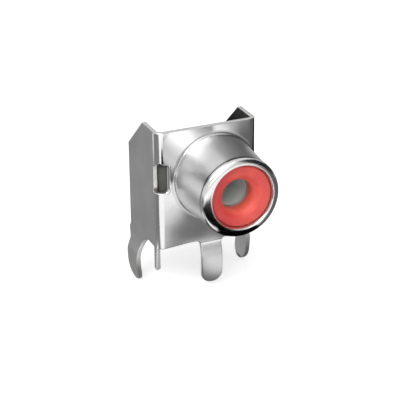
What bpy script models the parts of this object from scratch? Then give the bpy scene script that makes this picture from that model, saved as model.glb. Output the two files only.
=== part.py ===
"""Right-angle phono (RCA) socket for a circuit board.

Metres, +Z up. X = 0 is the barrel's axis, Y = 0 the outer face of the front plate,
with the barrel towards -Y, and Z = 0 the top of the board that the socket stands on.
"""
import math

import bmesh
import bpy
from mathutils import Vector

# Sheet-metal shell: thickness and outer radius of its two folds
SHEET = 0.00045
BEND_RADIUS = 0.0008

# Front plate and side flanges: how far the plate runs past the barrel's base
PLATE_LEFT_MARGIN = 0.00170
PLATE_TOP_MARGIN = 0.00067
FLANGE_DEPTH = 0.00777
EAR_LEVEL = 0.00370
EAR_RISE = 0.00012
EAR_CHAMFER = 0.00347
EDGE_RADIUS = 0.00015

# Snap-in legs of the two flanges
LEG_FRONT = 0.00360
LEG_REAR = 0.00635
LEG_TIP = 0.00520
LEG_TIP_RADIUS = 0.00135
LEG_SHOULDER = 0.00110
LEG_SHOULDER_RADIUS = 0.00045
LEG_ROOT_FILLET = 0.00080
LEG_STEP = 0.00035
LEG_STEP_RADIUS = 0.00030
LEG_BOW = 0.00100

# Ground leg of the front plate
GROUND_LEG_LEFT = 0.00162
GROUND_LEG_RIGHT = 0.00066
GROUND_LEG_TIP = 0.00462
GROUND_LEG_TIP_RADIUS = 0.00105
GROUND_LEG_BOW = 0.00032
GROUND_ROOT_RELIEF = 0.00018
GROUND_ROOT_REACH = 0.00110
GROUND_ROOT_FILLET = 0.00085

# A leg bows out over BOW_RISE below the board and back over BOW_FALL, softly at its root
BOW_RISE = 0.0023
BOW_FALL = 0.0052
BOW_SOFTNESS = 0.00015

# Locating pin on the left fold
PIN_BACK = 0.00112
PIN_WIDTH = 0.00075
PIN_TIP = 0.00247
PIN_TIP_RADIUS = 0.00022

# Window in the left fold, with heights below and above the barrel's axis
WINDOW_BACK = 0.00088
WINDOW_MARGIN = 0.00021
WINDOW_BELOW = 0.00104
WINDOW_ABOVE = 0.00171
WINDOW_RIDGE = 0.00050
WINDOW_CORNER = 0.00045
WINDOW_EDGE = 0.00008

# Drawn barrel and its rolled lip
AXIS_HEIGHT = 0.00724
BARREL_LENGTH = 0.0060
BASE_RADIUS = 0.00466
BASE_FILLET = 0.00018
ROOT_DEPTH = 0.06
LIP_RADIUS = 0.00415
LIP_ROLL = 0.00040
LIP_STEP = 0.00010

# Coloured front insulator
CLEARANCE = 0.00010
INSULATOR_PROUD = 0.00012
DISH_DEPTH = 0.00015
DISH_LAND = 0.00022
PIN_BORE = 0.00184
BORE_DEPTH = 0.00180

# Centre contact: a rolled sleeve with a solder tail
SLEEVE_RADIUS = 0.00162
SLEEVE_WALL = 0.00030
SLEEVE_LENGTH = 0.00640
SLEEVE_SEAM = 0.00040
SLEEVE_SEAM_ANGLE = 50.0
TAIL_WIDTH = 0.00100
TAIL_LAP = 0.00090
TAIL_BACK = 0.00630
TAIL_BEND = 0.00060
TAIL_TIP = 0.00300
TAIL_TIP_RADIUS = 0.00008

# Rear body
BODY_ABOVE = 0.00156
BODY_BACK = 0.00720
COLLAR_BACK = 0.00240
COLLAR_STEP = 0.00005
BODY_EDGE = 0.00025

# Facets
ROUND_SEGMENTS = 72
BEND_STEPS = 6
BOW_STEP = 0.00045

# Dependent sizes: the barrel's base comes out to the right flange's outer face
PLATE_LEFT = BASE_RADIUS + PLATE_LEFT_MARGIN
PLATE_RIGHT = BASE_RADIUS
PLATE_TOP = AXIS_HEIGHT + BASE_RADIUS + PLATE_TOP_MARGIN
EAR_END_HEIGHT = PLATE_TOP - EAR_CHAMFER
WINDOW_RIGHT = BASE_RADIUS + WINDOW_MARGIN
WINDOW_BOTTOM = AXIS_HEIGHT - WINDOW_BELOW
WINDOW_SIDE_TOP = AXIS_HEIGHT + WINDOW_ABOVE
WINDOW_PEAK = WINDOW_SIDE_TOP + WINDOW_RIDGE
BODY_TOP = AXIS_HEIGHT + BODY_ABOVE
BEND_ARC = BEND_RADIUS * math.pi / 2
LIP_CENTRE_RADIUS = LIP_RADIUS - LIP_ROLL
CONE_FRONT_RADIUS = LIP_RADIUS - LIP_STEP
CONE_BACK_RADIUS = BASE_RADIUS - BASE_FILLET
DISH_RIM = BARREL_LENGTH + INSULATOR_PROUD
BORE_MOUTH = DISH_RIM - DISH_DEPTH
SLEEVE_MOUTH = BORE_MOUTH - BORE_DEPTH
SLEEVE_OUTER = SLEEVE_RADIUS + SLEEVE_WALL
SLEEVE_BACK = SLEEVE_LENGTH - SLEEVE_MOUTH
BODY_FRONT = SHEET + CLEARANCE
INNER_LEFT = PLATE_LEFT - SHEET
INNER_RIGHT = PLATE_RIGHT - SHEET
COLLAR_RADIUS = INNER_RIGHT - CLEARANCE


def clear_scene():
    for obj in list(bpy.data.objects):
        bpy.data.objects.remove(obj, do_unlink=True)


def make_material(name, colour, metallic, roughness):
    material = bpy.data.materials.new(name)
    material.use_nodes = True
    shader = material.node_tree.nodes["Principled BSDF"]
    shader.inputs["Base Color"].default_value = (*colour, 1.0)
    shader.inputs["Metallic"].default_value = metallic
    shader.inputs["Roughness"].default_value = roughness
    material.diffuse_color = (*colour, 1.0)
    return material


def make_object(name, bm, material=None):
    bmesh.ops.recalc_face_normals(bm, faces=bm.faces)
    mesh = bpy.data.meshes.new(name)
    bm.to_mesh(mesh)
    bm.free()
    obj = bpy.data.objects.new(name, mesh)
    bpy.context.collection.objects.link(obj)
    if material is not None:
        mesh.materials.append(material)
    mesh.shade_smooth()
    mesh.set_sharp_from_angle(angle=math.radians(35))
    return obj


def make_tool(name, bm):
    """A shape that only cuts or joins another object."""
    tool = make_object(name, bm)
    tool.hide_render = True
    tool.display_type = "WIRE"
    return tool


def add_boolean(obj, tool, operation):
    modifier = obj.modifiers.new(tool.name, "BOOLEAN")
    modifier.operation = operation
    modifier.solver = "EXACT"
    modifier.object = tool


def rounded(corners, steps=5):
    """Turn (x, y, radius) corners into a closed outline with arcs at the corners."""
    points = []
    count = len(corners)
    for index, (x, y, radius) in enumerate(corners):
        here = Vector((x, y))
        before = Vector(corners[index - 1][:2]) - here
        after = Vector(corners[(index + 1) % count][:2]) - here
        half = before.angle(after) / 2
        if radius <= 0 or half > math.radians(89):
            points.append(here)
            continue
        reach = radius / math.tan(half)
        reach = min(reach, before.length / 2.02, after.length / 2.02)
        true_radius = reach * math.tan(half)
        middle = (before.normalized() + after.normalized()).normalized()
        centre = here + middle * (true_radius / math.sin(half))
        start = here + before.normalized() * reach - centre
        end = here + after.normalized() * reach - centre
        turn = start.angle_signed(end)
        for step in range(steps + 1):
            spin = -turn * step / steps
            cos_spin, sin_spin = math.cos(spin), math.sin(spin)
            offset = Vector((start.x * cos_spin - start.y * sin_spin,
                             start.x * sin_spin + start.y * cos_spin))
            points.append(centre + offset)
    return points


def arc(centre, radius, start, end, steps):
    """Points of an arc in a plane, with angles in degrees."""
    points = []
    for step in range(steps + 1):
        angle = math.radians(start + (end - start) * step / steps)
        points.append((centre[0] + radius * math.cos(angle), centre[1] + radius * math.sin(angle)))
    return points


def revolve(profile, segments=ROUND_SEGMENTS):
    """Turn a closed (radius, y) profile about the barrel's axis."""
    bm = bmesh.new()
    rings = []
    for step in range(segments):
        angle = 2 * math.pi * step / segments
        ring = []
        for radius, y in profile:
            height = AXIS_HEIGHT + radius * math.sin(angle)
            ring.append(bm.verts.new((radius * math.cos(angle), y, height)))
        rings.append(ring)
    count = len(profile)
    for step in range(segments):
        ring, following = rings[step], rings[(step + 1) % segments]
        for index in range(count):
            after = (index + 1) % count
            bm.faces.new((ring[index], ring[after], following[after], following[index]))
    return bm


def box(low, high):
    bm = bmesh.new()
    bmesh.ops.create_cube(bm, size=1.0)
    for vert in bm.verts:
        for axis in range(3):
            vert.co[axis] = low[axis] if vert.co[axis] < 0 else high[axis]
    return bm


def round_bar(radius, front, back, segments=ROUND_SEGMENTS):
    """A plain cylinder on the barrel's axis."""
    bm = bmesh.new()
    rim = arc((0.0, AXIS_HEIGHT), radius, 0, 360 - 360 / segments, segments - 1)
    face = bm.faces.new([bm.verts.new((x, front, z)) for x, z in rim])
    swept = bmesh.ops.extrude_face_region(bm, geom=[face])["geom"]
    moved = [item for item in swept if isinstance(item, bmesh.types.BMVert)]
    bmesh.ops.translate(bm, verts=moved, vec=(0, back - front, 0))
    return bm


# The blank is drawn flat: u runs along the outer face from the barrel's axis, round a
# fold and back along a flange, and z is the height.

def left_u(depth):
    return -(PLATE_LEFT - BEND_RADIUS + BEND_ARC + depth - BEND_RADIUS)


def right_u(depth):
    return PLATE_RIGHT - BEND_RADIUS + BEND_ARC + depth - BEND_RADIUS


def flange_corners(place):
    """One flange from its bottom front to its ear, as corners for rounded()."""
    return [
        (place(LEG_FRONT), 0.0, LEG_ROOT_FILLET),
        (place(LEG_FRONT), -LEG_TIP, LEG_TIP_RADIUS),
        (place(LEG_REAR), -LEG_TIP, LEG_TIP_RADIUS),
        (place(LEG_REAR), -LEG_SHOULDER, LEG_SHOULDER_RADIUS),
        (place(FLANGE_DEPTH), -LEG_STEP, LEG_STEP_RADIUS),
        (place(FLANGE_DEPTH), EAR_END_HEIGHT, EDGE_RADIUS),
        (place(EAR_LEVEL), PLATE_TOP + EAR_RISE, EDGE_RADIUS),
    ]


def blank_outline():
    pin_back = left_u(PIN_BACK)
    pin_front = pin_back + PIN_WIDTH
    relief_left = -GROUND_LEG_LEFT - GROUND_ROOT_REACH
    relief_right = GROUND_LEG_RIGHT + GROUND_ROOT_REACH
    bottom = [
        (pin_back, 0.0, EDGE_RADIUS),
        (pin_back, -PIN_TIP, PIN_TIP_RADIUS),
        (pin_front, -PIN_TIP, PIN_TIP_RADIUS),
        (pin_front, 0.0, EDGE_RADIUS),
        (-PLATE_LEFT + BEND_RADIUS, 0.0, 0.0),
        (relief_left, GROUND_ROOT_RELIEF, 0.0),
        (-GROUND_LEG_LEFT, GROUND_ROOT_RELIEF, GROUND_ROOT_FILLET),
        (-GROUND_LEG_LEFT, -GROUND_LEG_TIP, GROUND_LEG_TIP_RADIUS),
        (GROUND_LEG_RIGHT, -GROUND_LEG_TIP, GROUND_LEG_TIP_RADIUS),
        (GROUND_LEG_RIGHT, GROUND_ROOT_RELIEF, GROUND_ROOT_FILLET),
        (relief_right, 0.0, 0.0),
    ]
    left_side = list(reversed(flange_corners(left_u)))
    return rounded(left_side + bottom + flange_corners(right_u))


def window_outline():
    back = left_u(WINDOW_BACK)
    peak = -(PLATE_LEFT - BEND_RADIUS + BEND_ARC / 3)
    return rounded([
        (back, WINDOW_BOTTOM, WINDOW_EDGE),
        (-WINDOW_RIGHT, WINDOW_BOTTOM, WINDOW_CORNER),
        (-WINDOW_RIGHT, WINDOW_SIDE_TOP, WINDOW_EDGE),
        (peak, WINDOW_PEAK, WINDOW_EDGE),
        (back, WINDOW_SIDE_TOP, WINDOW_EDGE),
    ])


def bow(u, z):
    """How far a leg stands out from its own plane at a height below the board."""
    if z >= 0:
        return 0.0
    drop = math.hypot(z, BOW_SOFTNESS) - BOW_SOFTNESS
    if drop < BOW_RISE:
        share = math.sin(math.pi / 2 * drop / BOW_RISE)
    else:
        share = math.cos(math.pi / 2 * (drop - BOW_RISE) / BOW_FALL)
    if abs(u) < PLATE_LEFT - BEND_RADIUS:
        return GROUND_LEG_BOW * share
    middle = (PIN_BACK + LEG_FRONT) / 2
    on_leg = u < left_u(middle) or u > right_u(middle)
    return LEG_BOW * share if on_leg else 0.0


def folded(u, depth, z):
    """Where a point of the blank goes; depth is measured inwards from the outer face."""
    side = -1 if u < 0 else 1
    flat = (PLATE_LEFT if u < 0 else PLATE_RIGHT) - BEND_RADIUS
    along = abs(u)
    out = bow(u, z)
    if along <= flat:
        return Vector((side * along, depth - out, z))
    if along < flat + BEND_ARC:
        angle = (along - flat) / BEND_RADIUS
        radius = BEND_RADIUS - depth
        x = flat + radius * math.sin(angle)
        return Vector((side * x, BEND_RADIUS - radius * math.cos(angle), z))
    x = flat + BEND_RADIUS - depth + out
    return Vector((side * x, BEND_RADIUS + along - flat - BEND_ARC, z))


def add_loop(bm, points):
    verts = [bm.verts.new((u, 0.0, z)) for u, z in points]
    return [bm.edges.new((verts[i - 1], verts[i])) for i in range(len(verts))]


def build_shell(material):
    """Stamped blank, folded twice, with the barrel drawn out of the front plate."""
    bm = bmesh.new()
    hole_radius = BASE_RADIUS - SHEET / 2
    hole = arc((0.0, AXIS_HEIGHT), hole_radius, 0, 360 - 360 / ROUND_SEGMENTS, ROUND_SEGMENTS - 1)
    edges = add_loop(bm, blank_outline()) + add_loop(bm, window_outline()) + add_loop(bm, hole)
    bmesh.ops.triangle_fill(bm, edges=edges, use_beauty=True)

    # Cuts across the blank where it will curve, so that it bends in short flats
    cuts = []
    for start in (-(PLATE_LEFT - BEND_RADIUS + BEND_ARC), PLATE_RIGHT - BEND_RADIUS):
        for step in range(BEND_STEPS + 1):
            cuts.append(((start + BEND_ARC * step / BEND_STEPS, 0, 0), (1, 0, 0)))
    drop = 0.0
    while drop < max(LEG_TIP, GROUND_LEG_TIP):
        cuts.append(((0, 0, -drop), (0, 0, 1)))
        drop += BOW_STEP
    for point, normal in cuts:
        everything = bm.verts[:] + bm.edges[:] + bm.faces[:]
        bmesh.ops.bisect_plane(bm, geom=everything, dist=1e-7, plane_co=point, plane_no=normal)
    bmesh.ops.dissolve_limit(bm, angle_limit=math.radians(0.1), verts=[], edges=[])

    grown = bmesh.ops.extrude_face_region(bm, geom=bm.faces[:])["geom"]
    inner = {item for item in grown if isinstance(item, bmesh.types.BMVert)}
    for vert in bm.verts:
        depth = SHEET if vert in inner else 0.0
        vert.co = folded(vert.co.x, depth, vert.co.z)
    shell = make_object("shell", bm, material)
    add_boolean(shell, make_tool("barrel_form", revolve(barrel_profile())), "UNION")
    return shell


def barrel_profile():
    """Wall of the barrel and its rolled lip, as (radius, y) from the plate forwards.

    Its root lies inside the sheet, tapered so that it runs out in the right-hand fold.
    """
    hidden = SHEET * ROOT_DEPTH
    back = SHEET - hidden
    fillet = arc((BASE_RADIUS, -BASE_FILLET), BASE_FILLET, 90, 180, 4)
    roll_start = math.degrees(math.acos((CONE_FRONT_RADIUS - LIP_CENTRE_RADIUS) / LIP_ROLL))
    inner_front = CONE_FRONT_RADIUS - SHEET
    roll_end = -360 + math.degrees(math.acos((inner_front - LIP_CENTRE_RADIUS) / LIP_ROLL))
    roll = arc((LIP_CENTRE_RADIUS, -BARREL_LENGTH), LIP_ROLL, roll_start, roll_end, 20)
    inner_back = CONE_BACK_RADIUS - SHEET
    draw = arc((inner_back + BASE_FILLET, -BASE_FILLET + back), BASE_FILLET, 180, 90, 4)
    return [(CONE_BACK_RADIUS, back), (BASE_RADIUS, hidden)] + fillet[1:] + roll + draw


def cone_inner_radius(y):
    """Inner radius of the barrel's wall at a place in front of the plate."""
    share = -y / BARREL_LENGTH
    outer = CONE_BACK_RADIUS + (CONE_FRONT_RADIUS - CONE_BACK_RADIUS) * share
    return outer - SHEET


def build_front_insulator(material):
    rim = LIP_RADIUS - 2 * LIP_ROLL - CLEARANCE
    shoulder = BARREL_LENGTH - LIP_ROLL - CLEARANCE
    counterbore = SLEEVE_OUTER + CLEARANCE
    back = SHEET
    edge = EDGE_RADIUS
    front_edge = arc((rim - edge, -DISH_RIM + edge), edge, 0, -90, 3)
    mouth = arc((PIN_BORE + edge, -BORE_MOUTH + edge), edge, 250, 180, 3)
    profile = [
        (cone_inner_radius(0.0) - CLEARANCE, back),
        (cone_inner_radius(0.0) - CLEARANCE, 0.0),
        (cone_inner_radius(-shoulder) - CLEARANCE, -shoulder),
        (rim, -shoulder),
    ]
    profile += front_edge + [(rim - edge - DISH_LAND, -DISH_RIM)] + mouth
    profile += [
        (PIN_BORE, -SLEEVE_MOUTH - CLEARANCE),
        (counterbore, -SLEEVE_MOUTH - CLEARANCE),
        (counterbore, back),
    ]
    return make_object("front_insulator", revolve(profile), material)


def tail_outline():
    """Side view (y, z) of the strip that runs back from the sleeve and down to the board."""
    top = AXIS_HEIGHT - SLEEVE_RADIUS
    under = top - SLEEVE_WALL
    start = SLEEVE_BACK - TAIL_LAP
    back = TAIL_BACK
    front = TAIL_BACK - SLEEVE_WALL
    return rounded([
        (start, top, 0.0),
        (back, top, TAIL_BEND),
        (back, -TAIL_TIP, TAIL_TIP_RADIUS),
        (front, -TAIL_TIP, TAIL_TIP_RADIUS),
        (front, under, TAIL_BEND - SLEEVE_WALL),
        (start, under, 0.0),
    ])


def build_centre_contact(material):
    seam = math.degrees(SLEEVE_SEAM / SLEEVE_OUTER)
    start = SLEEVE_SEAM_ANGLE + seam / 2
    end = SLEEVE_SEAM_ANGLE - seam / 2 + 360
    steps = 48
    centre = (0.0, AXIS_HEIGHT)
    outer = arc(centre, SLEEVE_OUTER, start, end, steps)
    inner = arc(centre, SLEEVE_RADIUS, end, start, steps)
    bm = bmesh.new()
    face = bm.faces.new([bm.verts.new((x, -SLEEVE_MOUTH, z)) for x, z in outer + inner])
    swept = bmesh.ops.extrude_face_region(bm, geom=[face])["geom"]
    moved = [item for item in swept if isinstance(item, bmesh.types.BMVert)]
    bmesh.ops.translate(bm, verts=moved, vec=(0, SLEEVE_LENGTH, 0))
    contact = make_object("centre_contact", bm, material)

    strip = bmesh.new()
    face = strip.faces.new([strip.verts.new((-TAIL_WIDTH / 2, y, z)) for y, z in tail_outline()])
    swept = bmesh.ops.extrude_face_region(strip, geom=[face])["geom"]
    moved = [item for item in swept if isinstance(item, bmesh.types.BMVert)]
    bmesh.ops.translate(strip, verts=moved, vec=(TAIL_WIDTH, 0, 0))
    add_boolean(contact, make_tool("tail_form", strip), "UNION")
    return contact


def build_rear_body(material):
    """Moulded block behind the plate that carries the sleeve and guides its tail."""
    low = (-INNER_LEFT + CLEARANCE, BODY_FRONT, 0.0)
    high = (INNER_RIGHT - CLEARANCE, BODY_BACK, BODY_TOP)
    bm = box(low, high)
    bmesh.ops.bevel(bm, geom=bm.edges[:], offset=BODY_EDGE, segments=1, affect="EDGES")
    body = make_object("rear_body", bm, material)
    collar = round_bar(COLLAR_RADIUS, BODY_FRONT + COLLAR_STEP, COLLAR_BACK)
    add_boolean(body, make_tool("collar_form", collar), "UNION")

    sleeve_room = round_bar(SLEEVE_OUTER + CLEARANCE, 0.0, SLEEVE_BACK + CLEARANCE)
    add_boolean(body, make_tool("sleeve_room", sleeve_room), "DIFFERENCE")
    side = TAIL_WIDTH / 2 + CLEARANCE
    strip_top = AXIS_HEIGHT - SLEEVE_RADIUS + CLEARANCE
    strip_under = AXIS_HEIGHT - SLEEVE_OUTER - CLEARANCE
    tunnel = box((-side, SLEEVE_BACK - SLEEVE_WALL, strip_under), (side, TAIL_BACK, strip_top))
    add_boolean(body, make_tool("tail_tunnel", tunnel), "DIFFERENCE")
    slot_front = TAIL_BACK - TAIL_BEND - CLEARANCE
    slot = box((-side, slot_front, -SHEET), (side, BODY_BACK + SHEET, strip_top + SHEET))
    add_boolean(body, make_tool("tail_slot", slot), "DIFFERENCE")
    return body


def main():
    clear_scene()
    plated = make_material("plated_sheet", (0.62, 0.62, 0.63), 1.0, 0.22)
    red = make_material("red_moulding", (0.70, 0.07, 0.06), 0.0, 0.35)
    black = make_material("black_moulding", (0.03, 0.03, 0.03), 0.0, 0.5)
    tinned = make_material("tinned_contact", (0.55, 0.56, 0.53), 1.0, 0.3)
    build_shell(plated)
    build_front_insulator(red)
    build_rear_body(black)
    build_centre_contact(tinned)


main()
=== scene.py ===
"""The looks of a right-angle phono socket: fine meshes, materials, light and camera.

Sizes are in millimetres, in the part's own frame: X = 0 is the barrel's axis, Y = 0 the
front plate's outer face with the barrel towards -Y, and Z = 0 the top of the board.
"""
import math

import bmesh
import bpy
from mathutils import Matrix, Quaternion, Vector


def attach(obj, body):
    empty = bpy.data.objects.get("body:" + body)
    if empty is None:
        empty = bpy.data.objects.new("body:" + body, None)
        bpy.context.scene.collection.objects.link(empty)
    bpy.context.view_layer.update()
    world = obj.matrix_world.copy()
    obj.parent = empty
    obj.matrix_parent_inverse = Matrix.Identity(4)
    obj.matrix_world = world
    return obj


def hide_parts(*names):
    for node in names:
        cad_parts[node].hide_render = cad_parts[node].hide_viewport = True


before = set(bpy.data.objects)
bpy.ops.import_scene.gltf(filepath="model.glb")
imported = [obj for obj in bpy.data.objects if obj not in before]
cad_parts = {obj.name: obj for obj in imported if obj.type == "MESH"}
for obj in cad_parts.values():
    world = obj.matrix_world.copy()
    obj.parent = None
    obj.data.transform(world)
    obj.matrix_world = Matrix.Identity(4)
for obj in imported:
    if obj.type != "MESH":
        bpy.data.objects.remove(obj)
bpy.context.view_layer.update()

MM = 0.001

# Sheet-metal shell
SHEET = 0.45
BEND_RADIUS = 0.80
BASE_RADIUS = 4.66
BASE_FILLET = 0.18
AXIS_HEIGHT = 7.24
BARREL_LENGTH = 6.0
LIP_RADIUS = 4.15
LIP_ROLL = 0.40
LIP_STEP = 0.10
LIP_CREST = 0.60
LIP_OVERLAP = 0.33
LIP_OVERLAP_ANGLE = 205.0
LIP_OVERLAP_SPREAD = 1.5
LIP_BULGE = 0.6
LIP_CENTRE = LIP_RADIUS - LIP_ROLL
CONE_FRONT = LIP_RADIUS - LIP_STEP
CONE_BACK = BASE_RADIUS - BASE_FILLET
PLATE_LEFT = BASE_RADIUS + 1.70
PLATE_RIGHT = BASE_RADIUS
PLATE_TOP = AXIS_HEIGHT + BASE_RADIUS + 0.67
FLANGE_DEPTH = 7.77
EAR_LEVEL = 3.70
EAR_RISE = 0.12
EAR_END = PLATE_TOP - 3.47
CORNER = 0.15
BEND_ARC = BEND_RADIUS * math.pi / 2

# Legs, pin and window of the blank
LEG_FRONT = 3.60
LEG_REAR = 6.35
LEG_TIP = 5.20
LEG_TIP_RADIUS = 1.35
LEG_SHOULDER = 1.10
LEG_SHOULDER_RADIUS = 0.45
LEG_ROOT_FILLET = 0.80
LEG_STEP = 0.35
LEG_STEP_RADIUS = 0.30
LEG_BOW = 1.00
GROUND_LEFT = 1.62
GROUND_RIGHT = 0.66
GROUND_TIP = 4.62
GROUND_TIP_RADIUS = 1.05
GROUND_BOW = 0.36
GROUND_RISE = 1.4
GROUND_SOFTNESS = 0.35
GROUND_RELIEF = 0.18
GROUND_REACH = 1.10
GROUND_FILLET = 0.85
BOW_RISE = 2.3
BOW_FALL = 5.2
BOW_SOFTNESS = 0.15
PIN_BACK = 1.12
PIN_WIDTH = 0.75
PIN_TIP = 2.47
PIN_TIP_RADIUS = 0.22
WINDOW_BACK = 0.88
WINDOW_RIGHT = BASE_RADIUS + 0.39
WINDOW_BOTTOM = AXIS_HEIGHT - 1.04
WINDOW_SIDE_TOP = AXIS_HEIGHT + 1.71
WINDOW_PEAK = WINDOW_SIDE_TOP + 0.50
WINDOW_CORNER = 0.45
WINDOW_EDGE = 0.08
WINDOW_ROUND = 0.27
WINDOW_MARGIN = 0.1
WINDOW_BAND = 0.3

# Rounding of the sheet's cut edges on its outer and inner face, and the row of their faces
# and the material slot where the sheared finish begins
OUTER_ROUND = 0.09
INNER_ROUND = 0.04
OUTER_RIM_STEPS = 4
INNER_RIM_STEPS = 3
FIRST_SHEARED_ROW = 3
CUT_EDGE = 1

# Front insulator, contact and rear body
CLEARANCE = 0.10
SEAT = 0.03
INSULATOR_PROUD = 0.12
DISH_DEPTH = 0.15
DISH_LAND = 0.22
PIN_BORE = 1.66
BORE_FLARE = 0.85
BORE_DEPTH = 1.80
DISH_RIM = BARREL_LENGTH + INSULATOR_PROUD
BORE_MOUTH = DISH_RIM - DISH_DEPTH
SLEEVE_MOUTH = BORE_MOUTH - BORE_DEPTH
SLEEVE_RADIUS = 1.62
SLEEVE_WALL = 0.30
SLEEVE_OUTER = SLEEVE_RADIUS + SLEEVE_WALL
SLEEVE_LENGTH = 6.40
SLEEVE_BACK = SLEEVE_LENGTH - SLEEVE_MOUTH
SLEEVE_EDGE = 0.05
SLEEVE_SEAM = 0.40
SLEEVE_SEAM_ANGLE = 50.0
SLEEVE_LEAD = 0.20
TAIL_WIDTH = 1.00
TAIL_BACK = 6.30
TAIL_BEND = 0.60
TAIL_TIP = 3.00
TAIL_LAP = 0.90
TAIL_TIP_RADIUS = 0.08
CONTACT_ROUND = 0.04
BODY_TOP = AXIS_HEIGHT + 1.56
BODY_BACK = 7.20
BODY_FRONT = SHEET + CLEARANCE
BODY_ROUND = 0.14
COLLAR_BACK = 2.40
COLLAR_STEP = 0.05
COLLAR_RADIUS = PLATE_RIGHT - SHEET - CLEARANCE

# Marks of the press on the plating: the sheet drawn in round the barrel and duller drawn metal,
# with painted shade in the crease at the barrel's root and in the groove behind its lip
DRAW_REACH = 0.9
DRAW_RISE = 0.10
DRAW_FLAT = 0.3
CREASE_RADIUS = BASE_RADIUS - 0.06
CREASE_REACH = 0.30
CREASE_Y = -0.08
CREASE_DEPTH = 0.26
CREASE_EDGE = (0.30, 0.75)
CREASE_DARK = 0.75
CREASE_DULL = 0.30
GROOVE_Y = -(BARREL_LENGTH - 0.30)
GROOVE_WIDTH = 0.25
GROOVE_DARK = 0.95
BARREL_DULL = 0.28
LEG_DULL = 0.18

# Colours, most of them as the two ends of a mottling, and ranges of roughness
PLATING = ((0.60, 0.60, 0.60), (0.66, 0.66, 0.66))
PLATING_ROUGH = (0.10, 0.14)
# Painted shade for the crease at the barrel's root and the groove behind its lip
PAINTED_SHADE = (0.035, 0.028, 0.024)
SHEARED = ((0.62, 0.61, 0.60), (0.72, 0.71, 0.70))
SHEARED_ROUGH = (0.40, 0.55)
# Painted shade on the cut edge at the window's sill and the leg tips
SHEARED_PAINTED_SHADE = (0.16, 0.15, 0.14)
RED = ((0.60, 0.060, 0.060), (0.72, 0.098, 0.078))
# Painted light: a brighter orange in the bore's flare
RED_PAINTED_LIGHT = (0.80, 0.14, 0.10)
RED_ROUGH = (0.36, 0.50)
BLACK = ((0.055, 0.054, 0.052), (0.080, 0.079, 0.076))
BLACK_ROUGH = (0.42, 0.58)
SLEEVE = ((0.68, 0.80, 0.76), (0.80, 0.90, 0.86))
# Painted shade at the sleeve's mouth
SLEEVE_MOUTH_PAINTED_SHADE = (0.20, 0.22, 0.21)
TAIL = ((0.55, 0.56, 0.54), (0.66, 0.67, 0.65))
CONTACT_ROUGH = (0.35, 0.50)
WHITE = (1.0, 1.0, 1.0)

# Mesh density
ROUND_SEGMENTS = 192
HOLE_SEGMENTS = 96
CORNER_STEPS = 10
PROFILE_STEPS = 6
LEAD_STEPS = 10
FILLET_STEPS = 6
WALL_STEPS = 24
LIP_OUTER_STEPS = 28
LIP_INNER_STEPS = 14
LIP_BEHIND_STEPS = 10
INSIDE_STEPS = 6
BEND_STEPS = 14
BOW_STEP = 0.16
EDGE_LENGTH = 0.30
CROSSING_ROUNDS = 40
CUT_MERGE = 1e-5
SEAM_MERGE = 1e-6

# Where the barrel's inside from the lip meets the inside from the plate
HALF_WAY = 3.0

# A corner flatter than this is left as it is, and an arc takes up at most the length of a
# side divided by the second number
NEARLY_STRAIGHT = math.radians(89)
SIDE_SPLIT = 2.02

# The photograph's view: focal length and frame in pixels, and the point aimed at as seen
CAMERA_AZIMUTH = -23.145
CAMERA_ELEVATION = 24.321
CAMERA_ROLL = -0.597
CAMERA_DISTANCE = 152.78
FOCAL_PIXELS = 1485.09
IMAGE_PIXELS = 400
SENSOR_WIDTH = 36.0
CLIP_NEAR = 0.001
CLIP_FAR = 10.0
BARREL_OFFSET = 0.87
AIM_RIGHT = 0.781
AIM_UP = -4.221

# Stage: the lamps and far cards face this point
AIM = (-0.9, 1.0, 4.0)
FLOOR_SIZE = 1200.0
FLOOR_GREY = 0.8
FLOOR_GLOW = 0.6
WORLD_LEVEL = 0.42
CARD_DISTANCE = 140.0
CARD_LIFT = 0.03
UP = (0, 0, 1)

# Azimuth, elevation, distance, width, height and brightness in a mirror
LAMPS = {
    "key": (-18, 36, 160, 120, 150, 2.4),
    "upper_left": (-60, 52, 150, 90, 90, 4.0),
}

# Cards lying on the table, each just above the one before:
# x, y, width, height, brightness, soft share of the edge, and turn
TABLE_CARDS = {
    "table_dark": (49.8, -4.9, 100, 220, 0.16, 0.08, 34.4),
    "table_black": (32, 20, 58, 42, 0.01, 0.05, 0),
    "table_back": (-60.6, 26.4, 100, 90, 0.34, 0.03, 13),
    "table_left": (-76, -13, 100, 40, 0.30, 0.05, 0),
    "table_fold": (-23.5, -1, 12, 18, 0.28, 0.15, 0),
    "table_side": (-54, 59.7, 20, 100, 1.5, 0.2, 39.5),
    "table_ear": (-7.5, 47, 20, 19, 0.01, 0.07, 0),
    "table_under": (-5.8, -0.5, 10, 9, 0.01, 0.10, 0),
    "table_leg": (2, 8, 9, 10, 0.4, 0.2, 0),
    "table_near": (2.4, -5.6, 6.4, 10, 1.4, 0.3, 0),
    "table_low": (1.5, -12.2, 5, 5.5, 0.22, 0.45, 0),
    "table_bright": (8.3, -22.3, 7.4, 22, 1.6, 0.18, 21.5),
    "table_pin": (-13.5, 1.5, 9, 8, 1.8, 0.35, 0),
}

# Cards held close to the part: centre, facing, width, height, brightness, soft share
HUNG_CARDS = {
    "hung_lip": ((-5.35, -12.2, 4.0), UP, 9.3, 11.0, 0.0, 0.05),
    "hung_back": ((-13, 16, 0), (0.52, -0.84, 0), 14, 9, 0.36, 0.3),
    "hung_under": ((0.1, -7.2, 2.6), UP, 6.0, 8.4, 0.0, 0.06),
}

# Cards beside the set: azimuth, elevation, width, height, brightness, soft share
FAR_CARDS = {
    "flag_right": (56, 12, 190, 210, 0.02, 0.12),
    "flag_back": (146, 25, 145, 150, 0.13, 0.12),
    "flag_left_back": (-145, 18, 110, 68, 0.0, 0.25),
    "flag_front": (-33, 25, 60, 46, 0.02, 0.3),
    "flag_gap": (104, 8, 90, 70, 0.02, 0.15),
}


# Outlines and folding

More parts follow.
